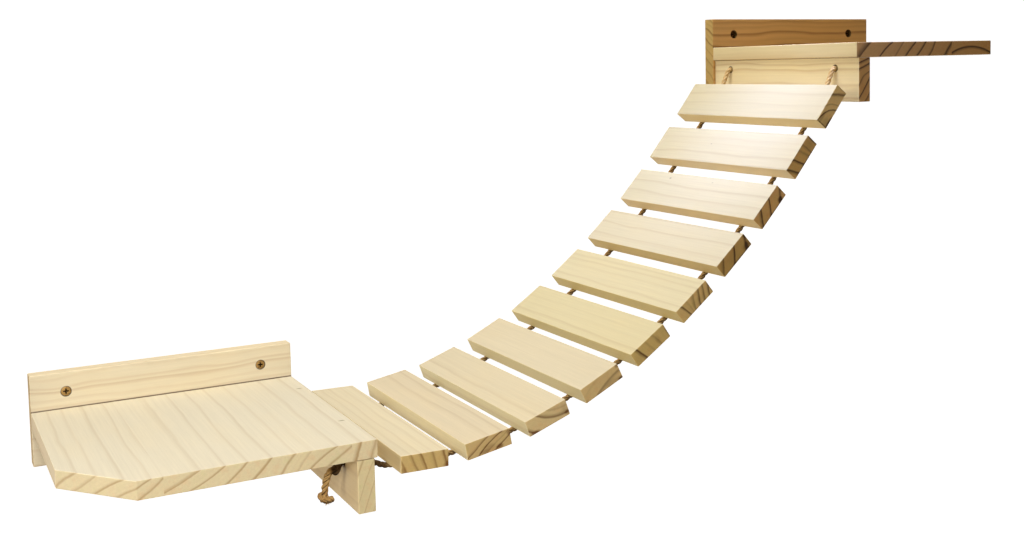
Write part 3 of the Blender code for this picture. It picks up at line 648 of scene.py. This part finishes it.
# ---------------------------------------------------------------- staples
def wire_staple(name, path, frame_mat, radius, mat, body, old):
    """A staple of flattened round wire along a path of (a, b) in its own plane, placed by frame_mat, with chisel ends."""
    pts = []
    for i, p in enumerate(path):
        p = Vector(p)
        if 0 < i < len(path) - 1:
            before, after = Vector(path[i - 1]), Vector(path[i + 1])
            a, b = (before - p).normalized(), (after - p).normalized()
            bend = radius * 1.5
            for k in range(5):
                w = k / 4
                pts.append((p + a * bend) * (1 - w) ** 2 + p * 2 * w * (1 - w) + (p + b * bend) * w ** 2)
        else:
            pts.append(p)
    sides, verts, faces = 12, [], []
    for i, p in enumerate(pts):
        way = (pts[min(i + 1, len(pts) - 1)] - pts[max(i - 1, 0)]).normalized()
        side = Vector((-way.y, way.x))
        end = i in (0, len(pts) - 1)
        for k in range(sides):
            th = 2 * math.pi * k / sides
            c, s = math.cos(th), math.sin(th)
            c = math.copysign(abs(c) ** 0.6, c) * radius * (0.25 if end else 1.0)
            s = math.copysign(abs(s) ** 0.6, s) * radius
            q = p + side * c
            verts.append(frame_mat @ Vector((q.x, s, q.y)))
    n = len(pts)
    for i in range(n - 1):
        for k in range(sides):
            m = (k + 1) % sides
            faces.append((i * sides + k, i * sides + m, (i + 1) * sides + m, (i + 1) * sides + k))
    faces.append(tuple(range(sides))[::-1])
    faces.append(tuple(range((n - 1) * sides, n * sides)))
    obj = new_piece(name, verts, faces, mat)
    bm = bmesh.new()
    bm.from_mesh(obj.data)
    bmesh.ops.recalc_face_normals(bm, faces=bm.faces)
    bm.to_mesh(obj.data)
    bm.free()
    obj.data.set_sharp_from_angle(angle=math.radians(50))
    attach(obj, body)
    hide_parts(old)
    return obj


for k, (hinge, start, angle) in enumerate(zip(hinges, slat_starts, SLAT_ANGLES), 1):
    a_dir = Vector((math.cos(angle), 0, math.sin(angle)))
    n_dir = Vector((-math.sin(angle), 0, math.cos(angle)))
    for side, y in ROPE_Y.items():
        centre = Vector((start.x, y, start.y)) + a_dir * SLAT_W / 2 + n_dir * ROPE_LIFT
        # staple plane: first axis along Y, second out of the slat's top
        place = Matrix.Translation(centre) @ Matrix((Vector((0, 1, 0)), a_dir, n_dir)).transposed().to_4x4()
        r, half_w = 0.00068, 0.0034 + 0.0007
        low = -(ROPE_LIFT + ROPE_R + 0.0003) - r
        wire_staple(f"slat_{k:02d}_staple_{side}_wire", [(-half_w, 0.0098), (-half_w, low), (half_w, low), (half_w, 0.0098)],
                    place, r, STEEL, f"slat_body_{k:02d}", f"slat_{k:02d}_staple_{side}")
for tag, end_x, way, top_z in (("lower", LOWER_END_X, -1, LOWER_TOP_Z), ("upper", UPPER_END_X, 1, UPPER_TOP_Z)):
    for side, y in zip(("rear", "front"), (-0.0775, -0.2220)):
        place = Matrix.Translation((end_x + way * 0.0095, y, top_z - 0.0004))
        wire_staple(f"shelf_staple_{tag}_{side}_wire", [(-0.0029, -0.0298), (-0.0029, -0.0005), (0.0029, -0.0005), (0.0029, -0.0298)],
                    place, 0.00048, DULL_STEEL, "platforms", f"shelf_staple_{tag}_{side}")


# ---------------------------------------------------------------- rope
def rope_material():
    """Jute yarn. The rope from the lower stopper knots through the lower holes to the first slat is painted near-black
    as shade under the shelf, and the handled hanging tails are worn darker in patches.
    """
    t = Tree("jute")
    uv = t.coord.outputs["UV"]
    split = t.t.nodes.new("ShaderNodeSeparateXYZ")
    t.t.links.new(uv, split.inputs[0])
    around, along = split.outputs["X"], split.outputs["Y"]
    # yarn twist inside each strand: fine lines that lean across it
    lean = t.math("ADD", t.math("MULTIPLY", around, 5.0), t.math("MULTIPLY", along, -0.42))
    yarn = t.math("ABSOLUTE", t.math("SINE", t.math("MULTIPLY", lean, math.pi)))
    hair = t.noise(t.xyz(t.math("MULTIPLY", lean, 3.0), t.math("MULTIPLY", along, 0.35), 0.0), 1.0, 4.0, 0.7)
    patch = t.noise(t.coord.outputs["Object"], 130.0, 2.0, 0.5)
    speck = t.noise(t.coord.outputs["Object"], 1500.0, 2.0, 0.6)
    colour = t.ramp(hair, [(0.25, srgb(150, 112, 60)), (0.50, srgb(204, 170, 112)), (0.72, srgb(232, 206, 152))])
    # painted crease shade: darker in the valleys between the yarns
    colour = t.mix(t.math("MULTIPLY", t.smooth(yarn, 0.0, 0.5, 1.0, 0.0), 0.50), colour, srgb(122, 84, 40))
    colour = t.mix(t.math("MULTIPLY", t.smooth(patch, 0.42, 0.70), 0.35), colour, srgb(176, 130, 72))
    colour = t.mix(t.math("MULTIPLY", t.smooth(speck, 0.55, 0.75), 0.30), colour, srgb(240, 220, 178))
    spot = t.t.nodes.new("ShaderNodeSeparateXYZ")
    t.t.links.new(t.coord.outputs["Object"], spot.inputs[0])
    x, z = spot.outputs["X"], spot.outputs["Z"]
    # painted shade: near-black on the stopper knots and on the rope from them through the holes to the first slat, for
    # the shade under the shelf
    knot = t.math("MULTIPLY", t.smooth(x, LOWER_BACK_X - 0.0175, LOWER_BACK_X - 0.0135), t.smooth(x, mouth_low.x + 0.024, mouth_low.x + 0.032, 1.0, 0.0))
    knot = t.math("MULTIPLY", knot, t.smooth(z, mouth_low.y - 0.020, mouth_low.y - 0.013))
    colour = t.mix(t.math("MULTIPLY", knot, 0.86), colour, srgb(52, 30, 16))
    worn = t.math("MULTIPLY", t.smooth(z, mouth_low.y - 0.024, mouth_low.y - 0.014, 1.0, 0.0), t.smooth(patch, 0.35, 0.65, 0.15, 0.55))
    colour = t.mix(t.math("MULTIPLY", worn, t.smooth(x, 0.13, 0.14, 1.0, 0.0)), colour, srgb(140, 96, 44))
    # painted shade on the underside and on the side away from the wall, less of it on the last run to the upper holes,
    # which is also made paler
    below = t.math("MULTIPLY", t.dot(t.coord.outputs["Normal"], (0.0, 0.0, 1.0)), -1.0)
    outward = t.math("MULTIPLY", t.dot(t.coord.outputs["Normal"], (0.0, 1.0, 0.0)), -1.0)
    rope_side_shade = t.math("MAXIMUM", t.smooth(below, 0.05, 0.75, 0.0, 0.74), t.math("MULTIPLY", t.smooth(outward, 0.45, 0.95, 0.0, 0.78), t.smooth(x, 0.16, 0.18)))
    near_upper_holes = t.smooth(x, mouth_high.x - 0.040, mouth_high.x - 0.020)
    colour = t.mix(t.math("MULTIPLY", rope_side_shade, t.math("SUBTRACT", 1.0, t.math("MULTIPLY", near_upper_holes, 0.75))), colour, srgb(38, 24, 12))
    colour = t.mix(t.math("MULTIPLY", near_upper_holes, 0.35), colour, srgb(236, 208, 148))
    t.put(t.shader.inputs["Base Color"], colour)
    t.shader.inputs["Roughness"].default_value = 0.85
    t.shader.inputs["Specular IOR Level"].default_value = 0.2
    t.put(t.shader.inputs["Normal"], t.bump(t.math("ADD", t.math("MULTIPLY", yarn, 0.6), t.math("MULTIPLY", hair, 0.7)), 0.6, 0.0003))
    return t.mat


JUTE = rope_material()


# middle line of a tight overhand knot pulled along its first axis, mm
KNOT = np.array([
    (-8.9, -3.4, 2.2), (-7.6, -3.0, 1.7), (-6.2, -2.6, 1.3), (-4.8, -2.2, 0.9), (-3.5, -1.9, 0.4), (-2.1, -1.9, -0.0),
    (-0.8, -2.4, -0.7), (0.2, -2.5, -1.8), (1.1, -2.1, -2.9), (2.0, -1.3, -3.8), (2.7, -0.2, -4.4), (3.3, 1.1, -4.7),
    (3.7, 2.5, -4.6), (3.9, 3.9, -4.1), (3.9, 5.1, -3.3), (3.6, 6.1, -2.2), (3.2, 6.7, -0.9), (2.7, 6.8, 0.5),
    (2.2, 6.5, 1.9), (1.6, 5.8, 3.1), (1.1, 4.8, 4.0), (0.7, 3.5, 4.5), (0.3, 2.1, 4.7), (0.0, 0.6, 4.7),
    (-0.2, -0.8, 4.7), (-0.5, -2.3, 4.7), (-0.9, -3.7, 4.4), (-1.4, -5.0, 3.8), (-1.9, -6.0, 2.9), (-2.5, -6.6, 1.7),
    (-3.0, -6.8, 0.3), (-3.5, -6.6, -1.1), (-3.9, -5.9, -2.4), (-4.1, -4.9, -3.4), (-4.1, -3.7, -4.2), (-3.9, -2.3, -4.7),
    (-3.5, -0.9, -4.7), (-2.9, 0.5, -4.3), (-2.1, 1.5, -3.6), (-1.3, 2.3, -2.7), (-0.3, 2.5, -1.6), (0.8, 2.3, -0.6),
    (2.0, 1.9, 0.0), (3.4, 1.9, 0.5), (4.8, 2.3, 0.9), (6.2, 2.7, 1.4), (7.6, 3.0, 1.8), (8.9, 3.4, 2.2),
])
KNOT_SCALE, KNOT_SQUEEZE = 0.00088, 0.86


def tied(anchor, axes, hold, scale=KNOT_SCALE, size=KNOT_SQUEEZE):
    """The knot's points with the given world axes, its point number hold placed at anchor. The last column is the rope's size."""
    points = (KNOT - KNOT[hold]) * scale @ np.array([tuple(v) for v in axes]) + np.array(anchor)
    return np.column_stack((points, np.full(len(points), size)))


def turned(axis, side, degrees):
    """Three world axes: axis, and the two across it, turned about it."""
    axis, side = Vector(axis).normalized(), Vector(side)
    side = (side - axis * side.dot(axis)).normalized()
    other = axis.cross(side)
    c, s = math.cos(math.radians(degrees)), math.sin(math.radians(degrees))
    return axis, side * c + other * s, other * c - side * s


def curve(a, a_way, b, b_way, count=14, size=1.0):
    """Smooth points from a, leaving along a_way, to b, arriving along b_way. Neither end is repeated."""
    out = []
    for i in range(1, count):
        w = i / count
        p = ((2 * w ** 3 - 3 * w ** 2 + 1) * np.array(a) + (w ** 3 - 2 * w ** 2 + w) * np.array(a_way)
             + (-2 * w ** 3 + 3 * w ** 2) * np.array(b) + (w ** 3 - w ** 2) * np.array(b_way))
        out.append((*p, size))
    return np.array(out)


def resample(points, step):
    keep = np.concatenate(([True], np.linalg.norm(np.diff(points[:, :3], axis=0), axis=1) > 1e-6))
    points = points[keep]
    s = np.concatenate(([0], np.cumsum(np.linalg.norm(np.diff(points[:, :3], axis=0), axis=1))))
    n = max(int(round(s[-1] / step)), 2)
    at = np.linspace(0, s[-1], n + 1)
    return np.stack([np.interp(at, s, points[:, k]) for k in range(points.shape[1])], 1)


def soften(points, times, hold=2):
    points = points.copy()
    for _ in range(times):
        points[hold:-hold] += 0.5 * ((points[hold - 1:-hold - 1] + points[hold + 1:len(points) - hold + 1]) / 2 - points[hold:-hold])
    return points


def rope_route(y, turn):
    """The rope's middle line from its free end through both lower knots, under every slat, to the upper knot. Metres."""
    low_z, high_z = mouth_low.y, mouth_high.y
    stop = tied((LOWER_BACK_X + 0.0012, y, low_z), turned((1, 0, 0), (0, 1, 0), 57.0 + turn), -1)
    low_knot_x = LOWER_BACK_X - FIT - KNOT_R
    tail_x = low_knot_x - TAIL_OUT
    hang = tied((tail_x - 0.001, y, low_z - 0.001 - TAIL_DROP + 0.0038), turned((0, 0, -1), (0.9, 0.4, 0), turn * 0.5), 0, 0.00090, 1.06)[::-1]
    way = stop[0, :3] - stop[1, :3]
    way = way / np.linalg.norm(way)
    tail = curve(hang[-1, :3], (0, 0, 0.020), stop[0, :3], -way * 0.016, size=1.18)
    down = hang[0, :3] - hang[2, :3]
    down = down / np.linalg.norm(down)
    hang = hang[3:]
    stub = np.array([(*(hang[0, :3] + down * d), 1.0) for d in (0.0008,)])
    corners = [Vector((LOWER_BACK_X + 0.004, y, low_z)), Vector((bend_low.x, y, bend_low.y))]
    for start, end, angle in zip(slat_starts, slat_ends, SLAT_ANGLES):
        step = 0.001 * heading(angle)
        corners.append(Vector((start.x - step.x, y, start.y - step.y)))
        corners.append(Vector((end.x + step.x, y, end.y + step.y)))
    corners += [Vector((bend_high.x, y, bend_high.y)), Vector((UPPER_BACK_X - 0.004, y, high_z))]
    path = [(*corners[0], 1.0)]
    for before, here, after in zip(corners[:-2], corners[1:-1], corners[2:]):
        a, b = before - here, after - here
        reach = min(0.45 * min(a.length, b.length), 0.0045)
        a.normalize()
        b.normalize()
        for i in range(5):
            w = i / 4
            path.append((*((here + a * reach) * (1 - w) ** 2 + here * 2 * w * (1 - w) + (here + b * reach) * w * w), 1.0))
    path.append((*corners[-1], 1.0))
    high = tied((UPPER_BACK_X - 0.0012, y, high_z), turned((1, 0, 0), (0, 1, 0), -57.0 + turn), 0)
    way = high[-1, :3] - high[-2, :3]
    way = way / np.linalg.norm(way)
    end = np.array([(*(high[-1, :3] + way * d + np.array((0, 0, -1)) * d * d * 60), 0.92) for d in (0.0015, 0.003, 0.0045, 0.006)])
    return soften(resample(np.concatenate((stub, hang, tail, stop, np.array(path), high, end)), 0.0008), 6)


def frames_along(line):
    """A pair of normals that don't twist along the line."""
    t = np.gradient(line, axis=0)
    t /= np.linalg.norm(t, axis=1)[:, None]
    n = np.zeros_like(line)
    first = np.cross(t[0], (0.0, 1.0, 0.2))
    n[0] = first / np.linalg.norm(first)
    for i in range(1, len(line)):
        v = n[i - 1] - t[i] * np.dot(n[i - 1], t[i])
        n[i] = v / np.linalg.norm(v)
    return n, np.cross(t, n)


STRAND_R, STRAND_OFF, PITCH, STRAND_SIDES = 0.00162, 0.00158, 0.0190, 16


def strands(line, size, frames, first, last, capped=(False, False)):
    """Three laid strands over line[first:last + 1]. Returns corners, faces and (around, along) for each corner."""
    s = np.concatenate(([0], np.cumsum(np.linalg.norm(np.diff(line, axis=0), axis=1))))
    n, b = frames
    verts, faces, uvs = [], [], []
    for strand in range(3):
        base = len(verts)
        phase = 2 * math.pi * (s / PITCH + strand / 3)
        middle = line + (STRAND_OFF * size)[:, None] * (np.cos(phase)[:, None] * n + np.sin(phase)[:, None] * b)
        tt = np.gradient(middle, axis=0)
        tt /= np.linalg.norm(tt, axis=1)[:, None]
        out = middle - line
        out -= tt * (out * tt).sum(1)[:, None]
        out /= np.linalg.norm(out, axis=1)[:, None]
        side = np.cross(tt, out)
        swell = size * (1.0 + 0.05 * np.sin(s * 900 + strand * 2.1) * np.sin(s * 310 + strand))
        for i in range(first, last + 1):
            taper = 1.0
            if capped[0]:
                taper = min(taper, 0.45 + 0.55 * min((i - first) / 2.0, 1.0))
            if capped[1]:
                taper = min(taper, 0.45 + 0.55 * min((last - i) / 2.0, 1.0))
            for k in range(STRAND_SIDES):
                th = 2 * math.pi * k / STRAND_SIDES
                lobes = 1.0 + 0.055 * math.cos(4 * (th + s[i] * 620.0))
                r = STRAND_R * lobes * swell[i] * taper
                verts.append(middle[i] + r * (math.cos(th) * out[i] * 0.97 + math.sin(th) * side[i]))
                uvs.append((k / STRAND_SIDES + s[i] * 98.7, s[i] * 1000 + strand * 37.0))
        count = last - first + 1
        for i in range(count - 1):
            for k in range(STRAND_SIDES):
                m = (k + 1) % STRAND_SIDES
                faces.append((base + i * STRAND_SIDES + k, base + i * STRAND_SIDES + m,
                              base + (i + 1) * STRAND_SIDES + m, base + (i + 1) * STRAND_SIDES + k))
        faces.append(tuple(base + k for k in range(STRAND_SIDES))[::-1])
        faces.append(tuple(base + (count - 1) * STRAND_SIDES + k for k in range(STRAND_SIDES)))
    return verts, faces, uvs


def frayed(tip, way, rng, verts, faces, uvs, count=42):
    """Thin tapering fibres that spread from a cut rope end."""
    way = Vector(way).normalized()
    side = way.orthogonal().normalized()
    other = way.cross(side)
    for _ in range(count):
        th, rad = rng.uniform(0, 2 * math.pi), 0.0026 * math.sqrt(rng.uniform(0, 1))
        out = side * math.cos(th) + other * math.sin(th)
        root = Vector(tip) + out * rad - way * 0.0012
        lean = (way + out * rng.uniform(0.05, 0.75) * (0.3 + rad / 0.0026)).normalized()
        length, thick = rng.uniform(0.0014, 0.0030), rng.uniform(0.00011, 0.00019)
        curl = Vector(rng.normal(0, 1, 3)) * 0.35
        base, sides = len(verts), 5
        for row, w in enumerate((0.0, 0.4, 0.8)):
            spot = root + lean * length * w + curl * length * w * w * 0.6
            for k in range(sides):
                q = 2 * math.pi * k / sides
                a = lean.orthogonal().normalized()
                verts.append(spot + (a * math.cos(q) + lean.cross(a) * math.sin(q)) * thick * (1 - 0.45 * w))
                uvs.append((k / sides, w * 4.0))
        verts.append(root + lean * length + curl * length * 0.6)
        uvs.append((0.5, 4.0))
        for row in range(2):
            for k in range(sides):
                m = (k + 1) % sides
                faces.append((base + row * sides + k, base + row * sides + m, base + (row + 1) * sides + m, base + (row + 1) * sides + k))
        for k in range(sides):
            faces.append((base + 2 * sides + k, base + 2 * sides + (k + 1) % sides, base + 3 * sides))
        faces.append(tuple(base + k for k in range(sides))[::-1])


for side, y in ROPE_Y.items():
    route = rope_route(y, {"rear": 25.0, "front": 0.0}[side])
    line, girth = route[:, :3], route[:, 3]
    girth = np.convolve(np.pad(girth, 4, mode="edge"), np.ones(9) / 9, mode="valid")
    frames = frames_along(line)
    rng = np.random.default_rng(11 if side == "rear" else 12)
    old = f"rope_{side}"

    def nearest(p):
        return int(np.argmin(((line - np.array((p[0], y, p[1]))) ** 2).sum(1)))

    mids = [(a + b) / 2 for a, b in zip(slat_starts, slat_ends)]
    in_low, in_high = nearest((LOWER_BACK_X + 0.009, mouth_low.y)), nearest((mouth_high.x + 0.006, mouth_high.y))
    cuts = [in_low] + [nearest(m) for m in mids]

    def section(name, a, b, capped=(False, False)):
        verts, faces, uvs = strands(line, girth, frames, a, b, capped)
        if capped[0]:
            frayed(line[a], line[a] - line[a + 3], rng, verts, faces, uvs)
        if capped[1]:
            frayed(line[b], line[b] - line[b - 3], rng, verts, faces, uvs)
        obj = new_piece(name, verts, faces, JUTE, uvs)
        obj.data.set_sharp_from_angle(angle=math.radians(70))
        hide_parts(old)
        return obj

    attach(section(f"rope_{side}_lower_knots", 0, in_low, (True, False)), "platforms")
    for k in range(1, 11):
        obj = section(f"rope_{side}_span_{k:02d}", cuts[k - 1], cuts[k])
        if k == 1:
            start, end = bend_low - Vector((0.005, 0)), bend_low + Vector((0.005, -0.001))
        else:
            start, end = slat_ends[k - 2], slat_starts[k - 1]
        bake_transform(obj)
    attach(section(f"rope_{side}_upper_run", cuts[10], in_high), "slat_body_10")
    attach(section(f"rope_{side}_upper_knot", in_high, len(line) - 1, (False, True)), "platforms")

# ---------------------------------------------------------------- floor, world and light
floor_mesh = bpy.data.meshes.new("floor")
bm = bmesh.new()
bmesh.ops.create_grid(bm, x_segments=1, y_segments=1, size=60.0)
bm.to_mesh(floor_mesh)
bm.free()
floor = bpy.data.objects.new("floor", floor_mesh)
floor.location = (0.0, 0.0, -3.4)
scene.collection.objects.link(floor)
t = Tree("floor")
far = t.smooth(t.dot(t.coord.outputs["Object"], (0.46, 0.885, 0.0)), -1.0, 7.5)
t.shader.inputs["Base Color"].default_value = (0.40, 0.39, 0.37, 1.0)
t.shader.inputs["Roughness"].default_value = 0.9
seen = t.t.nodes.new("ShaderNodeLightPath").outputs["Is Camera Ray"]
t.put(t.shader.inputs["Emission Color"], t.mix(seen, t.mix(far, (0.24, 0.185, 0.125), (1.02, 1.02, 1.02)), (1.02, 1.02, 1.02)))
t.shader.inputs["Emission Strength"].default_value = 1.0
dress(floor, t.mat)

world = bpy.data.worlds.new("studio")
world.use_nodes = True
scene.world = world
wt = world.node_tree
back = wt.nodes["Background"]
coord = wt.nodes.new("ShaderNodeTexCoord")
parts = wt.nodes.new("ShaderNodeSeparateXYZ")
wt.links.new(coord.outputs["Generated"], parts.inputs[0])


def world_range(value, a, b, c, d):
    n = wt.nodes.new("ShaderNodeMapRange")
    n.interpolation_type = "SMOOTHSTEP"
    for key, v in (("Value", value), ("From Min", a), ("From Max", b), ("To Min", c), ("To Max", d)):
        if isinstance(v, bpy.types.NodeSocket):
            wt.links.new(v, n.inputs[key])
        else:
            n.inputs[key].default_value = v
    return n.outputs["Result"]


def world_math(op, a, b):
    n = wt.nodes.new("ShaderNodeMath")
    n.operation = op
    for s, v in zip(n.inputs, (a, b)):
        if isinstance(v, bpy.types.NodeSocket):
            wt.links.new(v, s)
        else:
            s.default_value = v
    return n.outputs[0]


def world_mix(factor, a, b):
    n = wt.nodes.new("ShaderNodeMix")
    n.data_type = "RGBA"
    sockets = {q.identifier: q for q in n.inputs}
    wt.links.new(factor, sockets["Factor_Float"])
    for key, v in (("A_Color", a), ("B_Color", b)):
        if isinstance(v, bpy.types.NodeSocket):
            wt.links.new(v, sockets[key])
        else:
            sockets[key].default_value = (*v, 1.0)
    return next(q for q in n.outputs if q.identifier == "Result_Color")


# white behind the object, a dimmer warm room in front of it, a paler band along the horizon all round
tall = world_math("ABSOLUTE", parts.outputs["Z"], 0.0)
toward = world_math("ADD", world_math("MULTIPLY", parts.outputs["X"], 0.46), world_math("MULTIPLY", parts.outputs["Y"], 0.885))
behind = world_range(toward, 0.35, 0.85, 0.0, 1.0)
band = world_range(tall, 0.08, 0.34, 0.0, 1.0)
room = world_mix(band, (0.36, 0.29, 0.20), (0.100, 0.066, 0.038))
glow = world_mix(band, (1.04, 1.04, 1.04), (0.50, 0.48, 0.45))
paper = wt.nodes.new("ShaderNodeRGB").outputs[0]
paper.default_value = (1.03, 1.03, 1.03, 1.0)
seen = wt.nodes.new("ShaderNodeLightPath").outputs["Is Camera Ray"]
wt.links.new(world_mix(seen, world_mix(behind, room, glow), paper), back.inputs["Color"])
back.inputs["Strength"].default_value = 1.0


def aim(obj, place, target):
    obj.location = place
    obj.rotation_mode = "QUATERNION"
    obj.rotation_quaternion = (Vector(target) - Vector(place)).to_track_quat("-Z", "Y")


def area(name, place, target, size, watts, colour=(1, 1, 1), spread=180.0):
    data = bpy.data.lights.new(name, "AREA")
    data.shape = "DISK"
    data.size = size
    data.energy = watts
    data.color = colour
    data.spread = math.radians(spread)
    obj = bpy.data.objects.new(name, data)
    obj.visible_camera = False
    scene.collection.objects.link(obj)
    aim(obj, place, target)
    return obj


def spot(name, place, target, radius, watts, cone, colour=(1, 1, 1)):
    data = bpy.data.lights.new(name, "SPOT")
    data.shadow_soft_size = radius
    data.energy = watts
    data.color = colour
    data.spot_size = math.radians(cone)
    data.spot_blend = 1.0
    obj = bpy.data.objects.new(name, data)
    obj.visible_camera = False
    scene.collection.objects.link(obj)
    aim(obj, place, target)
    return obj


area("side_key", (-1.35, -0.35, 0.70), (0.35, -0.15, 0.1), 0.7, 7.2, (1.0, 0.95, 0.85))
spot("front_key", (-0.45, -1.55, 0.85), (-0.14, -0.15, 0.0), 0.30, 90.0, 66.0, (1.0, 0.975, 0.93))
area("top_light", (0.44, -0.02, 1.35), (0.72, -0.2, 0.25), 0.7, 10.6, (1.0, 1.0, 0.98))
spot("patch_light", (0.66, -0.36, 1.30), (0.79, -0.195, 0.21), 0.12, 96.0, 18.0, (0.38, 0.47, 1.0))
spot("under_fill", (-1.20, -0.27, -0.35), (0.125, -0.21, -0.045), 0.10, 24.0, 9.0, (1.0, 0.95, 0.86))
spot("upper_fill", (-0.60, -0.50, 0.62), (0.86, -0.16, 0.40), 0.12, 12.0, 20.0, (1.0, 0.96, 0.88))

scene.view_settings.view_transform = "Standard"
scene.view_settings.look = "None"
